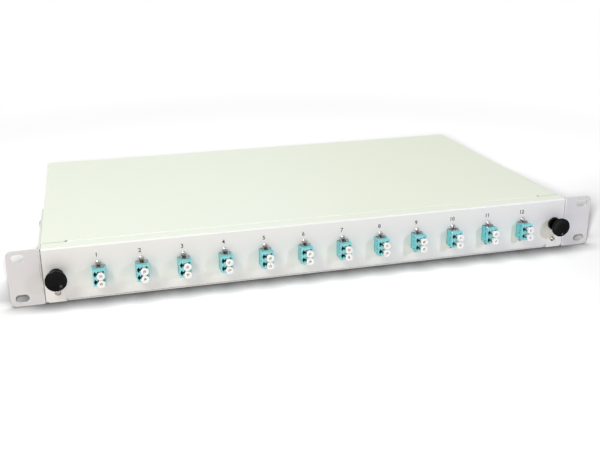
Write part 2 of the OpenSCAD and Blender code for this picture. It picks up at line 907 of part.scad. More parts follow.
// Nylon glides near the rear of the runners, which meet the rail glides at full travel
module runner_glides() {
    color("ivory")
        both_sides()
            along_y(rear_glide_y, rear_glide_y + glide_l)
                difference() {
                    translate([rail_in + rail_t + slide_gap,
                               slide_z - rail_h / 2 + rail_t + slide_gap])
                        square([runner_head_x + rail_t + glide_wall - rail_in - rail_t - slide_gap,
                                rail_h - 2 * rail_t - 2 * slide_gap]);
                    translate([tray_half, slide_z - runner_neck_t / 2])
                        square([runner_head_x - tray_half + fit_gap, runner_neck_t]);
                    translate([runner_head_x, slide_z - runner_head_h / 2])
                        square([rail_t, runner_head_h]);
                }
}

// Rivets that hold the runners to the tray
module runner_rivets() {
    color("silver")
        both_sides()
            for (y = runner_rivet_y, s = [-1, 1]) {
                rod_x(y, slide_z + s * runner_rivet_z, runner_rivet_r, tray_inner,
                      tray_half + rail_t + 0.4);
                rod_x(y, slide_z + s * runner_rivet_z, 1.8 * runner_rivet_r,
                      tray_inner - 0.8, tray_inner);
            }
}

// Drawer: front with its top lip, floor, sides and upturned rear edge, folded from one sheet
module drawer_tray() {
    color("white")
        difference() {
            union() {
                front_sheet();
                along_x(-tray_half, tray_half) {
                    translate([front_y + fold_r, tray_floor_z + fold_r])
                        fold_quarter(fold_r, drawer_t);
                    translate([front_y, tray_floor_z + fold_r])
                        square([drawer_t, fold_r]);
                }
                block([-tray_half, front_y + fold_r, tray_floor_z],
                      [tray_half, tray_d, tray_top_z]);
                along_y(tray_side_y, tray_d)
                    translate([0, tray_floor_z])
                        channel(2 * tray_half, tray_side_h, drawer_t, fold_r);
                block([-tray_inner + 2, tray_d - drawer_t, tray_floor_z + drawer_t / 2],
                      [tray_inner - 2, tray_d, tray_top_z + tray_rear_h]);
            }
            both_sides() {
                runner_holes();
                rod_y(latch_x, latch_z, bush_leg_r + fit_gap, front_y - cut, tab_y);
                rod_y(latch_x, lock_screw_z, lock_screw_r + fit_gap, front_y - cut, tab_y);
                for (y = tie_slot_y, k = [0:2])
                    along_z(tray_floor_z - cut, tray_top_z + cut)
                        translate([tie_slot_x + k * tie_slot_pitch, y])
                            slot(tie_slot_l, tie_slot_w);
            }
            for (x = port_x) {
                coupler_window(x);
                for (s = [-1, 1])
                    rod_y(x, coupler_z + s * coupler_screw_pitch / 2,
                          coupler_screw_r + screw_gap, front_y - cut, tab_y);
            }
        }
}

// Drawer front with its lip, and the tabs at the ends of its lower edge
module front_sheet() {
    low_z = bottom_z + front_lift;
    difference() {
        along_x(-front_half, front_half) {
            translate([front_y, low_z])
                square([drawer_t, top_z - low_z - fold_r]);
            translate([front_y + fold_r, top_z - fold_r])
                mirror([0, 1])
                    fold_quarter(fold_r, drawer_t);
            translate([front_y + fold_r, top_z - drawer_t])
                square([lip_d - fold_r, drawer_t]);
        }
        block([-tray_step_x, front_y - cut, low_z - cut],
              [tray_step_x, front_back_y + cut, tray_floor_z + fold_r]);
        both_sides()
            along_y(front_y - cut, front_back_y + cut)
                translate([front_half, low_z])
                    mirror([1, 0])
                        corner_waste(front_corner_r);
        both_sides()
            along_z(top_z - drawer_t - cut / 2, top_z + cut)
                translate([front_half, lip_end_y])
                    mirror([1, 0])
                        mirror([0, 1])
                            corner_waste(lip_corner_r);
    }
}

// Window in the drawer front for one coupler
module coupler_window(x) {
    along_y(front_y - cut, tab_y)
        translate([x, coupler_z])
            square([coupler_w + 2 * screw_gap, coupler_h + 2 * screw_gap], center = true);
}

// Section of one port: the plug space, the stepped keyway beside it and a corner notch
module port_section() {
    square([port_w, port_h], center = true);
    translate([-port_w / 2 - key_w, -key_h / 2])
        square([key_w + 0.1, key_h]);
    translate([-port_w / 2 - key_w + key_step / 2, -port_h / 2])
        square([key_step, port_h]);
    translate([port_w / 2 - notch, 0])
        square([notch, port_h / 2 + notch / 2]);
}

// Duplex coupler: two keyed ports at each end, sleeve holders, a flange and spring seats
module coupler(x) {
    difference() {
        union() {
            block([x - coupler_w / 2, coupler_front_y, coupler_z - coupler_h / 2],
                  [x + coupler_w / 2, coupler_end_y, coupler_z + coupler_h / 2]);
            along_y(flange_y, flange_end_y)
                translate([x, coupler_z])
                    rounded(coupler_w, coupler_flange_h, 1.2);
        }
        for (s = [-1, 1]) {
            port_z = coupler_z + s * bore_pitch / 2;
            for (span = [[coupler_front_y - cut, web_y - web_t / 2],
                         [web_y + web_t / 2, coupler_end_y + cut]])
                along_y(span[0], span[1])
                    translate([x + bore_offset_x, port_z])
                        port_section();
            rod_y(x + bore_offset_x, port_z, sleeve_r + fit_gap, web_y - web_t, web_y + web_t);
            rod_y(x, coupler_z + s * coupler_screw_pitch / 2, coupler_screw_r + screw_gap,
                  flange_y - cut, flange_end_y + cut);
            for (t = [-1, 1])
                block([x - coupler_w / 2 - cut, recess_y, port_z + t * recess_z - recess / 2],
                      [x - coupler_w / 2 + recess / 2, recess_y + recess_l,
                       port_z + t * recess_z + recess / 2]);
            spring_seat(x, s);
        }
    }
    for (s = [-1, 1])
        difference() {
            rod_y(x + bore_offset_x, coupler_z + s * bore_pitch / 2, holder_r,
                  web_y - holder_end, web_y + holder_end);
            rod_y(x + bore_offset_x, coupler_z + s * bore_pitch / 2, sleeve_r + fit_gap,
                  web_y - holder_end - cut, web_y + holder_end + cut);
        }
}

// Shallow seat for a leaf spring on the top or the bottom of a coupler
module spring_seat(x, s) {
    seat_z = coupler_z + s * (coupler_h / 2 - spring_t);
    low = min(seat_z, seat_z + s * cut);
    block([x - spring_w / 2, front_y - spring_l, low],
          [x + spring_w / 2, front_y, low + cut]);
}

// Leaf springs in front of the drawer front, above and below each coupler
module coupler_springs() {
    wing_turn = 24;
    color("dimgray")
        for (x = port_x, s = [-1, 1])
            translate([x, 0, coupler_z])
                mirror([0, 0, s < 0 ? 1 : 0])
                    translate([0, 0, coupler_h / 2 - spring_t]) {
                        block([-spring_w / 2 + fit_gap, front_y - spring_l + fit_gap, 0],
                              [spring_w / 2 - fit_gap, front_y - fit_gap, spring_t]);
                        for (t = [-1, 1])
                            translate([t * (spring_w / 2 - wing_w / 2 - fit_gap),
                                       front_y - spring_l + wing_start, 0])
                                rotate([wing_turn, 0, 0])
                                    translate([-wing_w / 2, 0, 0])
                                        cube([wing_w, wing_l, spring_t]);
                    }
}

// Coupler screws with their nuts behind the flanges
module coupler_screws() {
    color("silver")
        for (x = port_x, s = [-1, 1])
            screw_y(x, coupler_z + s * coupler_screw_pitch / 2, front_y, flange_end_y + coupler_screw_tail,
                    coupler_screw_r, coupler_screw_head_r, coupler_screw_head_h);
}

module coupler_nuts() {
    color("silver")
        for (x = port_x, s = [-1, 1])
            difference() {
                translate([x, flange_end_y + coupler_nut_t, coupler_z + s * coupler_screw_pitch / 2])
                    rotate([90, 30, 0])
                        cylinder(r = coupler_screw_r * 2.1, h = coupler_nut_t, $fn = 6);
                rod_y(x, coupler_z + s * coupler_screw_pitch / 2, coupler_screw_r + fit_gap,
                      flange_end_y - cut, flange_end_y + coupler_nut_t + cut);
            }
}

// Ceramic sleeves that line up the two ends of each fibre
module alignment_sleeves() {
    color("white")
        for (x = port_x, s = [-1, 1])
            difference() {
                rod_y(x + bore_offset_x, coupler_z + s * bore_pitch / 2, sleeve_r,
                      web_y - sleeve_l / 2, web_y + sleeve_l / 2);
                rod_y(x + bore_offset_x, coupler_z + s * bore_pitch / 2, sleeve_bore_r,
                      web_y - sleeve_l / 2 - cut, web_y + sleeve_l / 2 + cut);
            }
}

// Pair of trumpet-shaped dust caps in the ports of one coupler
module dust_caps(x) {
    face_y = coupler_front_y - cap_reach;
    stem_end_y = coupler_front_y + cap_stem_l;
    pin_end_y = stem_end_y + cap_pin_l;
    rim_y = face_y + cap_rim_t;
    flare_l = coupler_front_y - rim_y;
    flare_steps = 5;
    color("ivory")
        for (s = [-1, 1])
            turned_y(x + bore_offset_x, coupler_z + s * bore_pitch / 2)
                polygon(concat(
                    [[0, face_y + cap_dimple_d], [0.4 * cap_dimple_r, face_y + cap_dimple_d],
                     [cap_dimple_r, face_y], [cap_r - 0.2, face_y], [cap_r, face_y + 0.2]],
                    [for (k = [0:flare_steps])
                        [cap_stem_r + (cap_r - cap_stem_r) * pow(1 - k / flare_steps, 1.6),
                         rim_y + flare_l * k / flare_steps]],
                    [[cap_stem_r, stem_end_y], [sleeve_bore_r - 0.03, stem_end_y],
                     [sleeve_bore_r - 0.03, pin_end_y], [0, pin_end_y]]));
}

// Bush of a latch: a collar in front and slit legs that reach through the latch tab
module latch_bush() {
    difference() {
        union() {
            turned_y(latch_x, latch_z)
                polygon([[0, front_y - bush_collar_t], [bush_collar_r - 0.6, front_y - bush_collar_t],
                         [bush_collar_r, front_y - bush_collar_t + 0.6], [bush_collar_r, front_y],
                         [0, front_y]]);
            rod_y(latch_x, latch_z, bush_leg_r, front_y, front_back_y + bush_leg_l);
        }
        rod_y(latch_x, latch_z, shaft_r + fit_gap, front_y - bush_collar_t - cut,
              front_back_y + bush_leg_l + cut);
        for (turn = [0, 90])
            translate([latch_x, front_back_y + bush_leg_l, latch_z])
                rotate([0, turn, 0])
                    cube([2 * bush_leg_r + cut, 2 * (bush_leg_l - 0.5), bush_slit_w],
                         center = true);
    }
}

module latch_bush_right() {
    color("black")
        latch_bush();
}

module latch_bush_left() {
    color("black")
        mirror([1, 0, 0])
            latch_bush();
}

// Plunger of a latch: a dished knob on a flared neck, with the shaft that spreads the legs
module latch_plunger() {
    rim_y = knob_face_y + knob_rim_t;
    dish_r = knob_r - 1;
    steps = 6;
    flare_y = knob_back_y - 1.2;
    color("black")
        turned_y(latch_x, latch_z)
            polygon(concat(
                [for (k = [0:steps])
                    [dish_r * k / steps, knob_face_y + knob_dish_d * (1 - pow(k / steps, 2))]],
                [[knob_r - 0.5, knob_face_y], [knob_r, knob_face_y + 0.5], [knob_r, rim_y]],
                [for (k = [1:steps])
                    [knob_neck_r + (knob_r - knob_neck_r) * pow(1 - k / steps, 2),
                     rim_y + (flare_y - rim_y) * k / steps]],
                [[knob_neck_r, knob_back_y], [shaft_r, knob_back_y], [shaft_r, shaft_end_y - 1],
                 [shaft_r - 0.8, shaft_end_y], [0, shaft_end_y]]));
}

module latch_plunger_right() {
    latch_plunger();
}

module latch_plunger_left() {
    mirror([1, 0, 0])
        latch_plunger();
}

// Small screws below the latches, which lock the drawer for transport
module lock_screws() {
    color("silver")
        for (s = [-1, 1])
            screw_y(s * latch_x, lock_screw_z, front_y, tab_y + wall + lock_screw_tail, lock_screw_r,
                    lock_screw_head_r, lock_screw_head_h);
}

// Gland body on the right: a hexagon outside the case with threads on both sides of it
module gland_body(x) {
    color("dimgray")
        difference() {
            union() {
                rod_y(x, entry_z, gland_thread_r, pan_rear_y - wall - gland_inner_l, gland_out_y);
                translate([x, gland_out_y, entry_z])
                    rotate([90, 0, 0])
                        cylinder(d = gland_flats / cos(30), h = gland_hex_t, $fn = 6);
                rod_y(x, entry_z, outer_thread_r, gland_out_y, gland_thread_end_y);
            }
            rod_y(x, entry_z, gland_bore_r, pan_rear_y - wall - gland_inner_l - cut,
                  gland_thread_end_y + cut);
            rod_y(x, entry_z, seal_r, gland_thread_end_y - seal_l,
                  gland_thread_end_y + cut);
        }
}

module gland_body_right() {
    gland_body(gland_x);
}

module gland_body_left() {
    gland_body(-gland_x);
}

// Nuts that clamp the glands from inside
module gland_lock_nuts() {
    color("dimgray")
        for (s = [-1, 1])
            difference() {
                translate([s * gland_x, pan_rear_y - wall, entry_z])
                    rotate([90, 0, 0])
                        cylinder(d = gland_flats / cos(30), h = gland_nut_t, $fn = 6);
                rod_y(s * gland_x, entry_z, gland_thread_r + fit_gap,
                      pan_rear_y - wall - gland_nut_t - cut, pan_rear_y - wall + cut);
            }
}

// Rubber seals that grip the cable
module gland_seals() {
    color("darkslategray")
        for (s = [-1, 1])
            difference() {
                rod_y(s * gland_x, entry_z, seal_r - fit_gap,
                      gland_thread_end_y - seal_l, gland_thread_end_y);
                rod_y(s * gland_x, entry_z, cable_r, gland_thread_end_y - seal_l - cut,
                      gland_thread_end_y + cut);
            }
}

// Domed caps that press the seals
module gland_caps() {
    cap_out_r = gland_flats / 2;
    end_y = gland_out_y + seat_gap + gland_cap_l;
    bore_r = outer_thread_r + screw_gap;
    color("dimgray")
        for (s = [-1, 1])
            difference() {
                union() {
                    turned_y(s * gland_x, entry_z)
                        polygon([[0, gland_out_y + seat_gap], [cap_out_r, gland_out_y + seat_gap],
                                 [cap_out_r, end_y - 5], [cap_out_r - 2, end_y - 1.5],
                                 [cap_out_r - 4.5, end_y], [0, end_y]]);
                    translate([s * gland_x, gland_out_y + seat_gap + cap_hex_l, entry_z])
                        rotate([90, 0, 0])
                            cylinder(d = (gland_flats + 0.6) / cos(30), h = cap_hex_l, $fn = 6);
                }
                rod_y(s * gland_x, entry_z, bore_r, gland_out_y, gland_thread_end_y);
                rod_y(s * gland_x, entry_z, gland_bore_r, gland_out_y, end_y + cut);
            }
}

// Hollow plugs that close the unused cable entries
module blanking_plugs() {
    thin_r = gland_thread_r - 0.6;
    head_r = gland_thread_r + 2;
    barrel_y = pan_rear_y - wall - plug_barrel_l;
    color("dimgray")
        for (s = [-1, 1])
            turned_y(s * plug_x, entry_z)
                polygon([[0, pan_rear_y + plug_head_t], [0, pan_rear_y], [thin_r - wall, pan_rear_y],
                         [thin_r - wall, barrel_y], [thin_r, barrel_y],
                         [gland_thread_r, barrel_y + 0.25 * plug_barrel_l],
                         [gland_thread_r, pan_rear_y], [head_r, pan_rear_y],
                         [head_r, pan_rear_y + plug_head_t / 2],
                         [head_r - plug_head_t / 2, pan_rear_y + plug_head_t]]);
}

// Splice cassette: a floor, an outer wall with four fibre entries, and two spools
module splice_cassette() {
    color("darkgray")
        difference() {
            along_z(tray_top_z, cassette_top_z)
                translate([0, cassette_y])
                    rounded(cassette_w, cassette_d, cassette_r);
            difference() {
                along_z(tray_top_z + cassette_t, cassette_top_z + cut)
                    translate([0, cassette_y])
                        rounded(cassette_w - 2 * cassette_t, cassette_d - 2 * cassette_t,
                                cassette_r - cassette_t);
                for (s = [-1, 1])
                    along_z(tray_top_z, cassette_top_z)
                        translate([s * spool_x, cassette_y])
                            difference() {
                                circle(spool_r);
                                circle(spool_r - cassette_t);
                            }
            }
            for (s = [-1, 1], t = [-1, 1])
                block([s * spool_x - entry_w / 2, cassette_y + t * cassette_d / 2 - cassette_t - 0.2,
                       tray_top_z + cassette_t],
                      [s * spool_x + entry_w / 2, cassette_y + t * cassette_d / 2 + cassette_t + 0.2,
                       cassette_top_z + cut]);
            for (s = [-1, 1])
                translate([s * spool_x, cassette_y, tray_floor_z - cut])
                    cylinder(r = case_screw_r + screw_gap, h = cassette_h);
        }
}

// Comb that holds the splice sleeves
module splice_holder() {
    places_x = -splice_count * splice_pitch / 2;
    holder_z = tray_top_z + cassette_t;
    color("black")
        difference() {
            along_z(holder_z, holder_z + holder_h)
                translate([0, cassette_y])
                    square([holder_w, holder_l], center = true);
            for (k = [0:splice_count - 1])
                block([places_x + k * splice_pitch + rib_t / 2,
                       cassette_y - holder_l / 2 - cut, holder_z + rib_t],
                      [places_x + (k + 1) * splice_pitch - rib_t / 2,
                       cassette_y + holder_l / 2 + cut, holder_z + holder_h + cut]);
        }
}

// Lid of the splice cassette
module cassette_lid() {
    color("gray")
        difference() {
            along_z(cassette_top_z, cassette_top_z + cassette_t)
                translate([0, cassette_y])
                    rounded(cassette_w, cassette_d, cassette_r);
            for (t = [-1, 1])
                translate([0, cassette_y + t * cassette_d / 2, cassette_top_z - cut])
                    cylinder(r = finger_r, h = cassette_t + 2 * cut);
        }
}

// Screws that hold the cassette to the tray, inside its spools
module cassette_screws() {
    seat_z = tray_top_z + cassette_t;
    color("silver")
        for (s = [-1, 1])
            translate([s * spool_x, cassette_y, 0]) {
                translate([0, 0, tray_top_z])
                    cylinder(r = case_screw_r, h = cassette_t);
                translate([0, 0, seat_z])
                    cylinder(r = case_screw_head_r, h = case_screw_head_h);
            }
}

// Split rings on the tray floor that hold the loose fibre
module fibre_clips() {
    color("gainsboro")
        for (x = [-clip_x, clip_x], y = clip_y)
            along_y(y, y + clip_d)
                translate([x, tray_top_z + clip_h / 2])
                    difference() {
                        rounded(clip_w, clip_h, clip_corner_r);
                        rounded(clip_w - 2 * clip_t, clip_h - 2 * clip_t, clip_corner_r - clip_t);
                        translate([-clip_slit / 2, 0])
                            square([clip_slit, clip_h]);
                    }
}

case_shell();
base_pan();
case_screws();
ear_left();
ear_right();
ear_screws();
ear_nuts();
rail_left();
rail_right();
rail_rivets();
rail_glides();
gland_body_left();
gland_body_right();
gland_lock_nuts();
gland_caps();
gland_seals();
blanking_plugs();
drawer_tray();
runner_left();
runner_right();
runner_glides();
runner_rivets();
coupler_springs();
coupler_screws();
coupler_nuts();
alignment_sleeves();
latch_bush_left();
latch_bush_right();
lock_screws();
splice_cassette();
splice_holder();
cassette_lid();
cassette_screws();
fibre_clips();
latch_plunger_left();
latch_plunger_right();
for (k = [1:port_count]) {
    color("turquoise")
            coupler(port_x[k - 1]);
    dust_caps(port_x[k - 1]);
}
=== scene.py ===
import json
import math

import bpy
from mathutils import Matrix, Vector


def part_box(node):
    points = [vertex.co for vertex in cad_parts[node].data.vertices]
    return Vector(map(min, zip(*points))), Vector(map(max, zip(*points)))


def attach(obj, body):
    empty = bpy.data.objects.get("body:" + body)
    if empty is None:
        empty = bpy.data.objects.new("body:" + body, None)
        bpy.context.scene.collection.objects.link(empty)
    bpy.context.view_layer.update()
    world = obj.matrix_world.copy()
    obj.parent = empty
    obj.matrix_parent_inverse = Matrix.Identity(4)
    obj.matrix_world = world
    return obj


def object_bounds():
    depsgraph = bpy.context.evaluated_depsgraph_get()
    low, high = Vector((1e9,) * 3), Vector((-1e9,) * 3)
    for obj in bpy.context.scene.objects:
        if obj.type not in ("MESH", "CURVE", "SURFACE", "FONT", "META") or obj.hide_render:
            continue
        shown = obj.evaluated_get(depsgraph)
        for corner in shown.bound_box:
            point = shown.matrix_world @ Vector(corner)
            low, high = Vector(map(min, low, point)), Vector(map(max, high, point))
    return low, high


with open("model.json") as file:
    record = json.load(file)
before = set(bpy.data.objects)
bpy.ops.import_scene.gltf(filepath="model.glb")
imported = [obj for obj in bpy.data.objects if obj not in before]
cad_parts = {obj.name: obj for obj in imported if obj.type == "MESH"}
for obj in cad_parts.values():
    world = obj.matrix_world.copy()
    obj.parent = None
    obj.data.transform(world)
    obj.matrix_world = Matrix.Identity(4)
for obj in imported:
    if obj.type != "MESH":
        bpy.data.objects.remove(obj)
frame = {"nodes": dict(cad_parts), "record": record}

cad_lowest, cad_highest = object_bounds()

# Everything is in metres in the CAD frame: X to the right, Y to the back, Z up. A length that
# carries MM is written in millimetres, as in the part's source.
MM = 0.001


# ---------------------------------------------------------------- places from the frame


def middle(low, high):
    """Centre of a box."""
    return (low + high) / 2


PORTS = sorted(
    name for name in frame["nodes"] if name.startswith("coupler_") and name[-1].isdigit()
)
FLOOR_Z = cad_lowest.z
DRAWER_LOW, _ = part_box("drawer_tray")
FRONT_Y = DRAWER_LOW.y
COUPLER_LOW, COUPLER_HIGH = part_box(PORTS[0])
COUPLER_HALF_WIDTH = (COUPLER_HIGH.x - COUPLER_LOW.x) / 2
COUPLER_Z = middle(COUPLER_LOW, COUPLER_HIGH).z
FIRST_PORT_X = middle(COUPLER_LOW, COUPLER_HIGH).x
PORT_PITCH = middle(*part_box(PORTS[1])).x - FIRST_PORT_X
CAPS_LOW, CAPS_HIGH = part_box("dust_caps_01")
CAP_X = middle(CAPS_LOW, CAPS_HIGH).x
CAP_RADIUS = (CAPS_HIGH.x - CAPS_LOW.x) / 2
# Height of a cap's axis above or below the middle of its coupler
CAP_Z = (CAPS_HIGH.z - CAPS_LOW.z) / 2 - CAP_RADIUS


# ---------------------------------------------------------------- camera

CAMERA_PLACE = Vector((-174.5, -594.2, 235.7)) * MM
CAMERA_AZIMUTH = math.radians(-14.67)
CAMERA_ELEVATION = math.radians(19.314)
CAMERA_ROLL = math.radians(-0.617)
# Focal length and sensor width, both in millimetres as Blender takes them
CAMERA_LENS = 49.38
CAMERA_SENSOR = 36.0
CAMERA_NEAREST = 10 * MM
CAMERA_FURTHEST = 50.0


def make_camera():
    """The camera at the photograph's viewing angle."""
    data = bpy.data.cameras.new("camera")
    data.lens = CAMERA_LENS
    data.sensor_width = CAMERA_SENSOR
    data.clip_start = CAMERA_NEAREST
    data.clip_end = CAMERA_FURTHEST
    camera = bpy.data.objects.new("camera", data)
    bpy.context.scene.collection.objects.link(camera)
    turn = Matrix.Rotation(CAMERA_AZIMUTH, 4, "Z")
    tilt = Matrix.Rotation(math.pi / 2 - CAMERA_ELEVATION, 4, "X")
    roll = Matrix.Rotation(CAMERA_ROLL, 4, "Z")
    camera.matrix_world = Matrix.Translation(CAMERA_PLACE) @ turn @ tilt @ roll
    bpy.context.scene.camera = camera


# ---------------------------------------------------------------- node helpers

WHITE = (1, 1, 1, 1)
BLACK = (0, 0, 0, 1)
# The Mix node's sockets for colours, which have the same names as those for numbers
MIX_SHARE, MIX_FIRST, MIX_SECOND, MIX_RESULT = 0, 6, 7, 2
EDGE_SAMPLES = 6
# Most of a noise lies between these two shares
NOISE_MOST = (0.3, 0.7)


def linear(red, green, blue):
    """A colour given as 0 to 255 on screen, as the shaders want it."""
    shares = [value / 255 for value in (red, green, blue)]
    return [s / 12.92 if s <= 0.04045 else ((s + 0.055) / 1.055) ** 2.4 for s in shares] + [1.0]


def grey(level):
    """A grey given as 0 to 255 on screen."""
    return linear(level, level, level)


def darker_by(drop, colour):
    """A colour that is a number of screen levels darker than another."""
    return linear(*[value - drop for value in colour])


class Tree:
    """The node tree of a material or a world, with short ways to add and join nodes."""

    def __init__(self, name, owner=None):
        self.owner = owner or bpy.data.materials.new(name)
        self.owner.use_nodes = True
        self.nodes = self.owner.node_tree.nodes
        self.links = self.owner.node_tree.links
        self.nodes.clear()

    def add(self, kind, inputs=None, **settings):
        """Adds a node; an input's value is a number, a colour or another node's socket."""
        node = self.nodes.new("ShaderNode" + kind)
        for key, value in settings.items():
            setattr(node, key, value)
        for key, value in (inputs or {}).items():
            if isinstance(value, bpy.types.NodeSocket):
                self.links.new(value, node.inputs[key])
            else:
                node.inputs[key].default_value = value
        return node

    def maths(self, operation, *values, clamp=False):
        """The result of a Math node."""
        inputs = dict(enumerate(values))
        return self.add("Math", inputs, operation=operation, use_clamp=clamp).outputs[0]

    def ramp_between(self, value, start, end, low=0.0, high=1.0, way="SMOOTHSTEP"):
        """Takes value from low at start to high at end."""
        inputs = {"Value": value, "From Min": start, "From Max": end, "To Min": low, "To Max": high}
        return self.add("MapRange", inputs, interpolation_type=way).outputs["Result"]

    def mixed(self, share, first, second):
        """A colour between two others."""
        inputs = {MIX_SHARE: share, MIX_FIRST: first, MIX_SECOND: second}
        return self.add("Mix", inputs, data_type="RGBA").outputs[MIX_RESULT]

    def split(self, vector):
        """The X, Y and Z of a vector."""
        return self.add("SeparateXYZ", {"Vector": vector}).outputs

    def place(self):
        """The point on the piece, in metres in the CAD frame at rest."""
        return self.add("TexCoord").outputs["Object"]

    def facing(self):
        """The direction in which the face itself looks, without any bump."""
        return self.add("NewGeometry").outputs["True Normal"]

    def open_share(self, reach, samples):
        """1 on an open surface, falling where others stand closer than reach metres."""
        return self.add("AmbientOcclusion", {"Distance": reach}, samples=samples).outputs["AO"]

    def noise(self, size, detail=2.0, stretch=(1, 1, 1)):
        """Noise from 0 to 1 whose patches are about size metres across."""
        where = self.add("Mapping", {"Vector": self.place(), "Scale": stretch}).outputs[0]
        inputs = {"Vector": where, "Scale": 1 / size, "Detail": detail}
        return self.add("TexNoise", inputs).outputs["Fac"]

    def bump(self, height, depth, strength=1.0, normal=None):
        """A normal with a relief of the given depth in metres."""
        inputs = {"Height": height, "Distance": depth, "Strength": strength}
        if normal is not None:
            inputs["Normal"] = normal
        return self.add("Bump", inputs).outputs[0]

    def rounded(self, radius):
        """A normal that rounds sharp edges off by a small radius."""
        return self.add("Bevel", {"Radius": radius}, samples=EDGE_SAMPLES).outputs[0]

    def finish(self, **inputs):
        """Adds the surface shader with its output."""
        named = {key.replace("_", " "): value for key, value in inputs.items()}
        shader = self.add("BsdfPrincipled", named)
        self.add("OutputMaterial", {"Surface": shader.outputs[0]})
        return self.owner


def varied(tree, colour, size, amount):
    """A colour that drifts a little lighter and darker in patches."""
    darker = [c * (1 - amount) for c in colour[:3]] + [1.0]
    lighter = [min(1, c * (1 + amount)) for c in colour[:3]] + [1.0]
    return tree.mixed(tree.noise(size), darker, lighter)


# ---------------------------------------------------------------- sheet steel and metal

# How squarely a face looks along an axis where it is flat sheet, and where it is all fold
FLAT_SHEET, FULL_FOLD = 0.995, 0.80
# Colour of the painted highlight on the sheet's folds
FOLD_HIGHLIGHT_COLOUR = (255, 255, 252)
# Screen levels by which the coat's specks are darker, and its crevices with painted shade
SPECK_DROP = 26
CREVICE_SHADE_DROP = 110
# Painted shade in a crevice shows where surfaces stand this close, between these open shares
CREVICE_REACH = 2.2 * MM
CREVICE_SHARES = (0.1, 0.5)
CREVICE_SAMPLES = 8


def fold_share(tree):
    """0 on the flat sheet, rising to 1 where a fold turns away from all three axes."""
    parts = tree.split(tree.facing())
    sizes = [tree.maths("ABSOLUTE", parts[axis]) for axis in "XYZ"]
    flattest = tree.maths("MAXIMUM", tree.maths("MAXIMUM", sizes[0], sizes[1]), sizes[2])
    return tree.ramp_between(flattest, FLAT_SHEET, FULL_FOLD)


def powder_coat(name, colour, roughness=0.36):
    """Light powder coat: fine orange peel, faint mottling, a painted highlight on the folds and
    painted shade in the crevices.
    """
    tree = Tree(name)
    base = varied(tree, linear(*colour), size=90 * MM, amount=0.012)
    # Painted highlight on the folds
    base = tree.mixed(fold_share(tree), base, linear(*FOLD_HIGHLIGHT_COLOUR))
    speck = tree.ramp_between(tree.noise(0.9 * MM), *NOISE_MOST, low=0.985, high=1.0)
    base = tree.mixed(speck, darker_by(SPECK_DROP, colour), base)
    # Painted shade in crevices, where surfaces stand close
    crevice = tree.ramp_between(tree.open_share(CREVICE_REACH, CREVICE_SAMPLES), *CREVICE_SHARES)
    base = tree.mixed(crevice, darker_by(CREVICE_SHADE_DROP, colour), base)
    peel = tree.noise(1.6 * MM, detail=1.0)
    grain = tree.noise(0.35 * MM, detail=1.0)
    normal = tree.bump(peel, depth=0.012 * MM, strength=0.5, normal=tree.rounded(0.25 * MM))
    normal = tree.bump(grain, depth=0.004 * MM, strength=0.5, normal=normal)
    rough = tree.ramp_between(
        tree.noise(14 * MM), start=0.25, end=0.75, low=roughness - 0.03, high=roughness + 0.03
    )
    return tree.finish(Base_Color=base, Roughness=rough, Normal=normal)


def metal(name, colour, roughness=0.25, brushed=(1, 1, 1), drift=0.06):
    """Bare or plated metal with fine working marks."""
    tree = Tree(name)
    base = varied(tree, linear(*colour), size=5 * MM, amount=drift)
    marks = tree.noise(0.3 * MM, detail=3.0, stretch=brushed)
    normal = tree.bump(marks, depth=0.005 * MM, strength=0.4, normal=tree.rounded(0.12 * MM))
    rough = tree.ramp_between(
        marks, start=0.2, end=0.8, low=roughness * 0.75, high=roughness * 1.3
    )
    return tree.finish(Base_Color=base, Metallic=1.0, Roughness=rough, Normal=normal)


# ---------------------------------------------------------------- plastics, rubber and ink

# Painted shade on the couplers' sides and painted light on their fronts
SHADED_SIDE_AQUA = (108, 203, 208)
LIT_FRONT_AQUA = (150, 221, 223)
# Painted shade inside the ports
PORT_SHADE_AQUA = (36, 165, 160)
# Painted shade in the shallow recesses on the couplers' sides
RECESS_SHADE_AQUA = (0, 44, 46)
# How far along Y a face looks where the sides' painted shade ends and the front's painted light
# begins
SIDE_FACING, FRONT_FACING = -0.5, -0.95
# A coupler's outermost skin keeps its colour, and so does all above and below its ports
SKIN = 0.06 * MM
PORTS_HALF_HEIGHT = 6.4 * MM
# Behind the coupler's front, where the painted shade in the ports begins and where it is darkest
DARK_FROM, DARK_TO = 0.05 * MM, 2.5 * MM
# How far in from a coupler's sides a hollow counts as one of their shallow recesses, which take
# painted shade
RECESS_DEPTH = 0.7 * MM

CAP_WHITE = (254, 253, 241)
# Colour of the painted shade in a cap's dimple
DIMPLE_SHADE_WHITE = (249, 242, 229)
# Distances from a cap's axis where its dimple's painted shade begins and where it is full, and how
# far behind the cap's front it reaches
DIMPLE_RIM, DIMPLE_MIDDLE = 1.45 * MM, 0.5 * MM
DIMPLE_BACK = 3.3 * MM


def plastic(name, colour, roughness=0.35, drift=0.03, edge=0.2 * MM):
    """Moulded plastic with a fine spark-eroded grain."""
    tree = Tree(name)
    base = varied(tree, linear(*colour), size=6 * MM, amount=drift)
    grain = tree.noise(0.25 * MM)
    normal = tree.bump(grain, depth=0.006 * MM, strength=0.5, normal=tree.rounded(edge))
    rough = tree.ramp_between(
        tree.noise(3 * MM), *NOISE_MOST, low=roughness - 0.05, high=roughness + 0.05
    )
    return tree.finish(Base_Color=base, Roughness=rough, Normal=normal)


def from_port_centre(tree):
    """Sideways and upward distances from the middle of the nearest coupler, and the Y."""
    parts = tree.split(tree.place())
    lowest, highest = FIRST_PORT_X - PORT_PITCH / 2, FIRST_PORT_X + PORT_PITCH / 2
    nearest = tree.maths("WRAP", parts["X"], highest, lowest)
    across = tree.maths("SUBTRACT", nearest, FIRST_PORT_X)
    upward = tree.maths("SUBTRACT", parts["Z"], COUPLER_Z)
    return across, upward, parts["Y"]


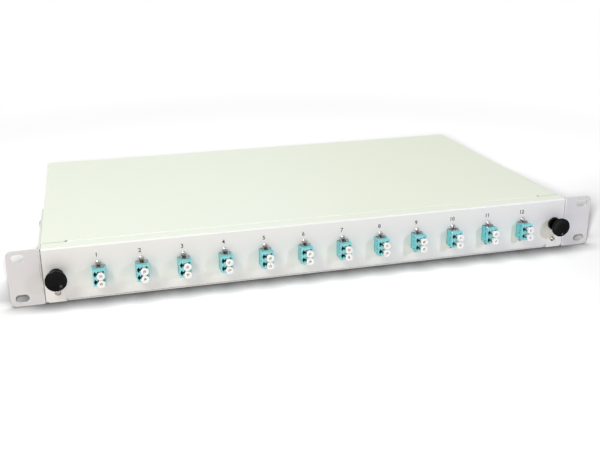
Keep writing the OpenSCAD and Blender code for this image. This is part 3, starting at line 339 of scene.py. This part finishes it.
def coupler_plastic(name):
    """Aqua plastic: painted light on the front, painted shade on the sides and inside the ports,
    keyways and recesses.
    """
    tree = Tree(name)
    across, upward, depth = from_port_centre(tree)
    aside = tree.maths("ABSOLUTE", across)
    inside = tree.maths("LESS_THAN", aside, COUPLER_HALF_WIDTH - SKIN)
    level = tree.maths("LESS_THAN", tree.maths("ABSOLUTE", upward), PORTS_HALF_HEIGHT)
    # Painted shade inside the ports, deepening behind the front
    sunk = tree.ramp_between(depth, COUPLER_LOW.y + DARK_FROM, COUPLER_LOW.y + DARK_TO)
    dark = tree.maths("MULTIPLY", tree.maths("MULTIPLY", inside, level), sunk)

    # Painted light: the front lighter and the sides darker
    facing = tree.split(tree.facing())["Y"]
    front = tree.ramp_between(facing, SIDE_FACING, FRONT_FACING)
    side = varied(tree, linear(*SHADED_SIDE_AQUA), size=5 * MM, amount=0.03)
    base = tree.mixed(front, side, linear(*LIT_FRONT_AQUA))
    # Painted shade in the side recesses
    recess = tree.maths("GREATER_THAN", aside, COUPLER_HALF_WIDTH - RECESS_DEPTH)
    hollow = tree.mixed(recess, linear(*PORT_SHADE_AQUA), linear(*RECESS_SHADE_AQUA))
    base = tree.mixed(dark, base, hollow)

    grain = tree.noise(0.3 * MM)
    normal = tree.bump(grain, depth=0.006 * MM, strength=0.5, normal=tree.rounded(0.18 * MM))
    return tree.finish(
        Base_Color=base,
        Roughness=0.32,
        Normal=normal,
        Subsurface_Weight=0.12,
        Subsurface_Radius=(0.6 * MM, 1.0 * MM, 1.0 * MM),
        Subsurface_Scale=1.0,
    )


def cap_plastic(name):
    """Milky white cap plastic, with warm painted shade in the dimple."""
    tree = Tree(name)
    across, upward, depth = from_port_centre(tree)
    sideways = tree.maths("SUBTRACT", across, CAP_X - FIRST_PORT_X)
    upright = tree.maths("SUBTRACT", tree.maths("ABSOLUTE", upward), CAP_Z)
    squares = [tree.maths("POWER", leg, 2.0) for leg in (sideways, upright)]
    from_axis = tree.maths("SQRT", tree.maths("ADD", *squares))
    # Painted shade in the dimple
    near = tree.ramp_between(from_axis, DIMPLE_RIM, DIMPLE_MIDDLE)
    front = tree.maths("LESS_THAN", depth, CAPS_LOW.y + DIMPLE_BACK)
    base = varied(tree, linear(*CAP_WHITE), size=4 * MM, amount=0.01)
    base = tree.mixed(tree.maths("MULTIPLY", near, front), base, linear(*DIMPLE_SHADE_WHITE))
    grain = tree.noise(0.4 * MM)
    normal = tree.bump(grain, depth=0.004 * MM, strength=0.4, normal=tree.rounded(0.15 * MM))
    return tree.finish(
        Base_Color=base,
        Roughness=0.38,
        Normal=normal,
        Subsurface_Weight=0.6,
        Subsurface_Radius=(1.8 * MM, 1.6 * MM, 1.3 * MM),
        Subsurface_Scale=1.0,
    )


def gloss_black(name):
    """Polished black plastic of the latches, with faint moulding ripples."""
    tree = Tree(name)
    base = varied(tree, grey(3), size=5 * MM, amount=0.25)
    ripples = tree.noise(2.2 * MM, detail=1.0)
    normal = tree.bump(ripples, depth=0.01 * MM, strength=0.35, normal=tree.rounded(0.3 * MM))
    rough = tree.ramp_between(tree.noise(4 * MM), *NOISE_MOST, low=0.07, high=0.13)
    return tree.finish(Base_Color=base, Roughness=rough, Normal=normal, Specular_IOR_Level=0.11)


def rubber(name):
    """Matt rubber of the gland seals."""
    tree = Tree(name)
    base = varied(tree, linear(38, 40, 41), size=3 * MM, amount=0.15)
    normal = tree.bump(tree.noise(0.5 * MM), depth=0.02 * MM, strength=0.5)
    return tree.finish(Base_Color=base, Roughness=0.75, Normal=normal)


def ink(name):
    """Nearly black screen print, a little uneven."""
    tree = Tree(name)
    base = tree.mixed(tree.noise(0.4 * MM), linear(8, 8, 9), linear(26, 24, 26))
    return tree.finish(Base_Color=base, Roughness=0.6)


# ---------------------------------------------------------------- finish of each slot

MAKERS = {
    "case_paint": lambda name: powder_coat(name, (241, 241, 229)),
    "ear_paint": lambda name: powder_coat(name, (223, 222, 214)),
    "drawer_paint": lambda name: powder_coat(name, (241, 241, 229)),
    "screw_steel": lambda name: metal(name, (196, 189, 181), roughness=0.24),
    "zinc_steel": lambda name: metal(name, (186, 190, 196), roughness=0.34, brushed=(1, 0.04, 1)),
    "rivet_metal": lambda name: metal(name, (196, 197, 199), roughness=0.32),
    "spring_steel": lambda name: metal(name, (150, 152, 154), roughness=0.22, brushed=(0.1, 1, 1)),
    "nylon": lambda name: plastic(name, (232, 228, 214), roughness=0.45),
    "ceramic": lambda name: plastic(name, (246, 246, 243), roughness=0.15, drift=0.01),
    "gland_plastic": lambda name: plastic(
        name, (62, 64, 66), roughness=0.42, drift=0.08, edge=0.4 * MM
    ),
    "seal_rubber": rubber,
    "coupler_plastic": coupler_plastic,
    "cap_plastic": cap_plastic,
    "latch_plastic": gloss_black,
    "cassette_plastic": lambda name: plastic(name, (150, 153, 156), roughness=0.4),
    "holder_plastic": lambda name: plastic(name, (34, 34, 36), roughness=0.4, drift=0.1),
    "lid_plastic": lambda name: plastic(name, (128, 132, 136), roughness=0.3),
    "clip_plastic": lambda name: plastic(name, (214, 214, 212), roughness=0.38),
}


def dress_cad_nodes():
    """Gives every CAD node the finish of its slot in the record."""
    made = {slot: maker(slot) for slot, maker in MAKERS.items()}
    for part in frame["record"]["subparts"]:
        mesh = frame["nodes"][part["node"]].data
        mesh.materials.clear()
        mesh.materials.append(made[part["material_slot"]])


# ---------------------------------------------------------------- printed numbers

NUMBER_HEIGHT = 3.3 * MM
NUMBER_Z = 13.2 * MM
# From the middle of the coupler to the middle of its number
NUMBER_SHIFT = -0.75 * MM
# Height of a figure as a share of the font's size
FIGURE_SHARE = 0.73
# By how much the font's strokes are made bolder, and how thick the print is
STROKE_SPREAD = 0.075 * MM
INK_THICKNESS = 0.03 * MM


def number_mesh(count):
    """The figures of a number, flat in X and Y and centred."""
    data = bpy.data.curves.new("number", "FONT")
    data.body = str(count)
    data.align_x = "CENTER"
    data.align_y = "CENTER"
    data.size = NUMBER_HEIGHT / FIGURE_SHARE
    data.extrude = INK_THICKNESS / 2
    data.offset = STROKE_SPREAD
    text = bpy.data.objects.new("number_text", data)
    bpy.context.scene.collection.objects.link(text)
    bpy.context.view_layer.update()
    shaped = text.evaluated_get(bpy.context.evaluated_depsgraph_get())
    mesh = bpy.data.meshes.new_from_object(shaped)
    bpy.data.objects.remove(text)
    return mesh


def printed_number(count, x, material):
    """A plain number on the drawer front, above its coupler."""
    mesh = number_mesh(count)
    mesh.transform(Matrix.Rotation(math.pi / 2, 4, "X"))
    mesh.materials.clear()
    mesh.materials.append(material)
    piece = bpy.data.objects.new(f"number_{count:02d}", mesh)
    piece.location = (x, FRONT_Y - INK_THICKNESS / 2, NUMBER_Z)
    bpy.context.scene.collection.objects.link(piece)
    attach(piece, "drawer")


def print_numbers():
    """The numbers of the ports, from left to right."""
    black = ink("number_ink")
    for count in range(1, len(PORTS) + 1):
        port_x = FIRST_PORT_X + (count - 1) * PORT_PITCH
        printed_number(count, port_x + NUMBER_SHIFT, black)


# ---------------------------------------------------------------- floor and sky

FLOOR_HALF = 12.0
# The floor keeps its lamp shadow and painted contact shade up to the first distance from this
# point, and is plain white from the second on
BLEND_CENTRE = (0.0, 0.14, 0.0)
BLEND_START, BLEND_END = 0.46, 0.72
# How far the painted contact shade reaches on the floor in front of the panel and beside the ears,
# and the share of it that is left along the case. Each passes into the next between two values of
# Y.
FRONT_REACH = 23 * MM
BESIDE_REACH = 45 * MM
BACK_SHARE = 0.12
FRONT_TO_BESIDE = (0.0, 15 * MM)
BESIDE_TO_BACK = (40 * MM, 90 * MM)
# Power to which the open share is raised, which makes the painted shade deeper
SHADE_DEPTH = 2.35
SHADE_SAMPLES = 16
# The floor's colour where it is open, as a share of white. Its own glow grows from front to
# back between two values of Y.
FLOOR_LIT_SHARE = 0.6
GLOW_FRONT = 0.0
GLOW_BACK = 0.37
FRONT_TO_BACK = (30 * MM, 250 * MM)
# For light that bounces off it, the floor is this grey with a share of its painted shade
BOUNCE_GREY = 192
BOUNCE_SHADE = 0.2
# Strength of the sky's light on the panel
SKY_STRENGTH = 0.16


def seen_share(tree):
    """1 on rays from the camera and on mirror and glass rays, otherwise 0."""
    path = tree.add("LightPath").outputs
    seen = tree.maths("ADD", path["Is Camera Ray"], path["Is Glossy Ray"])
    return tree.maths("ADD", seen, path["Is Transmission Ray"], clamp=True)


def floor_open_share(tree, depth):
    """1 on open floor, falling towards the foot of the panel: the painted contact shade."""
    reach = tree.ramp_between(depth, *FRONT_TO_BESIDE, low=FRONT_REACH, high=BESIDE_REACH)
    left = tree.ramp_between(depth, *BESIDE_TO_BACK, low=1.0, high=BACK_SHARE)
    reach = tree.maths("MULTIPLY", reach, left)
    return tree.maths("POWER", tree.open_share(reach, SHADE_SAMPLES), SHADE_DEPTH)


def floor_material():
    """White floor that keeps the panel's lamp shadow and a painted contact shade near it, and is
    plain white further off.
    """
    tree = Tree("floor_white")
    where = tree.add("NewGeometry").outputs["Position"]
    depth = tree.split(where)["Y"]
    seen = seen_share(tree)
    open_share = floor_open_share(tree, depth)

    lit_white = [FLOOR_LIT_SHARE] * 3 + [1.0]
    # Painted contact shade on the floor
    shaded = tree.mixed(open_share, BLACK, lit_white)
    bounced = tree.mixed(BOUNCE_SHADE, grey(BOUNCE_GREY), shaded)
    lit = tree.add("BsdfDiffuse", {"Color": tree.mixed(seen, bounced, shaded)})
    level = tree.ramp_between(depth, *FRONT_TO_BACK, low=GLOW_FRONT, high=GLOW_BACK, way="LINEAR")
    glow = tree.maths("MULTIPLY", tree.maths("MULTIPLY", open_share, level), seen)
    lift = tree.add("Emission", {"Color": WHITE, "Strength": glow})
    near = tree.add("AddShader", {0: lit.outputs[0], 1: lift.outputs[0]})

    spread = tree.add("VectorMath", {0: where, 1: BLEND_CENTRE}, operation="DISTANCE")
    far_share = tree.ramp_between(spread.outputs["Value"], BLEND_START, BLEND_END)
    far_share = tree.maths("MULTIPLY", far_share, seen)
    far = tree.add("Emission", {"Color": WHITE, "Strength": 1.0})
    both = tree.add("MixShader", {0: far_share, 1: near.outputs[0], 2: far.outputs[0]})
    tree.add("OutputMaterial", {"Surface": both.outputs[0]})
    return tree.owner


def make_floor():
    """A large plain floor under the panel."""
    mesh = bpy.data.meshes.new("floor")
    signs = [(-1, -1), (1, -1), (1, 1), (-1, 1)]
    corners = [(x * FLOOR_HALF, y * FLOOR_HALF, FLOOR_Z) for x, y in signs]
    mesh.from_pydata(corners, [], [(0, 1, 2, 3)])
    mesh.materials.append(floor_material())
    floor = bpy.data.objects.new("floor", mesh)
    bpy.context.scene.collection.objects.link(floor)
    return floor


def make_sky():
    """Even soft light from all round, which the camera and mirrors see as white."""
    world = bpy.data.worlds.new("studio")
    bpy.context.scene.world = world
    tree = Tree("studio", world)
    seen = seen_share(tree)
    strength = tree.ramp_between(seen, 0.0, 1.0, low=SKY_STRENGTH, high=1.0, way="LINEAR")
    sky = tree.add("Background", {"Color": WHITE, "Strength": strength})
    tree.add("OutputWorld", {"Surface": sky.outputs[0]})


# ---------------------------------------------------------------- lamps

# Name, place, point it is aimed at, width and height, power in watts, colour
SOFT_BOXES = [
    ("overhead", (-0.1, 0.35, 1.1), (0, 0.1, 0), (1.0, 0.8), 7.1, (0.90, 1.0, 0.74)),
    ("over_back", (0.0, 1.3, 0.8), (0, 0.1, 0), (0.8, 0.6), 1.1, (0.3, 0.5, 1.0)),
    ("over_front", (0.0, -0.9, 0.9), (0, 0, 0), (0.7, 0.7), 0.25, (0.2, 0.2, 1.0)),
    ("over_left", (-0.7, -0.5, 0.9), (-0.1, 0, 0), (0.5, 0.5), 6.4, (0.94, 0.96, 1.0)),
    ("front_left", (-0.48, -0.6, 0.08), (-0.1, 0, 0), (0.12, 0.12), 0.58, (1.0, 0.66, 0.70)),
    ("front_right", (0.40, -0.50, 0.22), (0.1, 0, 0), (0.06, 0.06), 1.2, (0.68, 0.68, 1.0)),
]
# The floor has a lamp of its own, just beside the camera, so that the panel's shadow stays
# close to its outline
FLOOR_LAMP_PLACE = Vector((-192.0, -590.0, 258.0)) * MM
FLOOR_LAMP_TARGET = (0, 0.1, 0)
FLOOR_LAMP_SIZE = 115 * MM
FLOOR_LAMP_POWER = 39.0


def hang_lamp(data, place, target):
    """Puts a lamp in the scene and aims it at a point."""
    lamp = bpy.data.objects.new(data.name, data)
    lamp.location = place
    aim = Vector(target) - Vector(place)
    lamp.rotation_euler = aim.to_track_quat("-Z", "Y").to_euler()
    bpy.context.scene.collection.objects.link(lamp)
    return lamp


def soft_box(name, place, target, size, power, colour):
    """A rectangular soft light."""
    data = bpy.data.lights.new(name, "AREA")
    data.shape = "RECTANGLE"
    data.size, data.size_y = size
    data.energy = power
    data.color = colour
    return hang_lamp(data, place, target)


def floor_lamp():
    """A round lamp that lights near and far floor alike."""
    data = bpy.data.lights.new("floor_lamp", "AREA")
    data.shape = "DISK"
    data.size = FLOOR_LAMP_SIZE
    data.energy = FLOOR_LAMP_POWER
    data.use_nodes = True
    nodes, links = data.node_tree.nodes, data.node_tree.links
    nodes.clear()
    even = nodes.new("ShaderNodeLightFalloff")
    even.inputs["Strength"].default_value = 1.0
    glow = nodes.new("ShaderNodeEmission")
    links.new(even.outputs["Constant"], glow.inputs["Strength"])
    links.new(glow.outputs[0], nodes.new("ShaderNodeOutputLight").inputs["Surface"])
    return hang_lamp(data, FLOOR_LAMP_PLACE, FLOOR_LAMP_TARGET)


def light_studio(floor):
    """Soft lights above and in front for all but the floor, and the floor's own lamp."""
    panel_lamps = [soft_box(*row) for row in SOFT_BOXES]
    own_lamp = floor_lamp()
    floor_alone = bpy.data.collections.new("floor_lamp_lights")
    floor_alone.objects.link(floor)
    own_lamp.light_linking.receiver_collection = floor_alone
    all_but_floor = bpy.data.collections.new("panel_lamps_light")
    all_but_floor.objects.link(floor)
    all_but_floor.collection_objects[0].light_linking.link_state = "EXCLUDE"
    for lamp in panel_lamps:
        lamp.light_linking.receiver_collection = all_but_floor


# ---------------------------------------------------------------- the scene

make_camera()
make_sky()
light_studio(make_floor())
dress_cad_nodes()
print_numbers()

scene = bpy.context.scene
scene.view_settings.view_transform = "Standard"
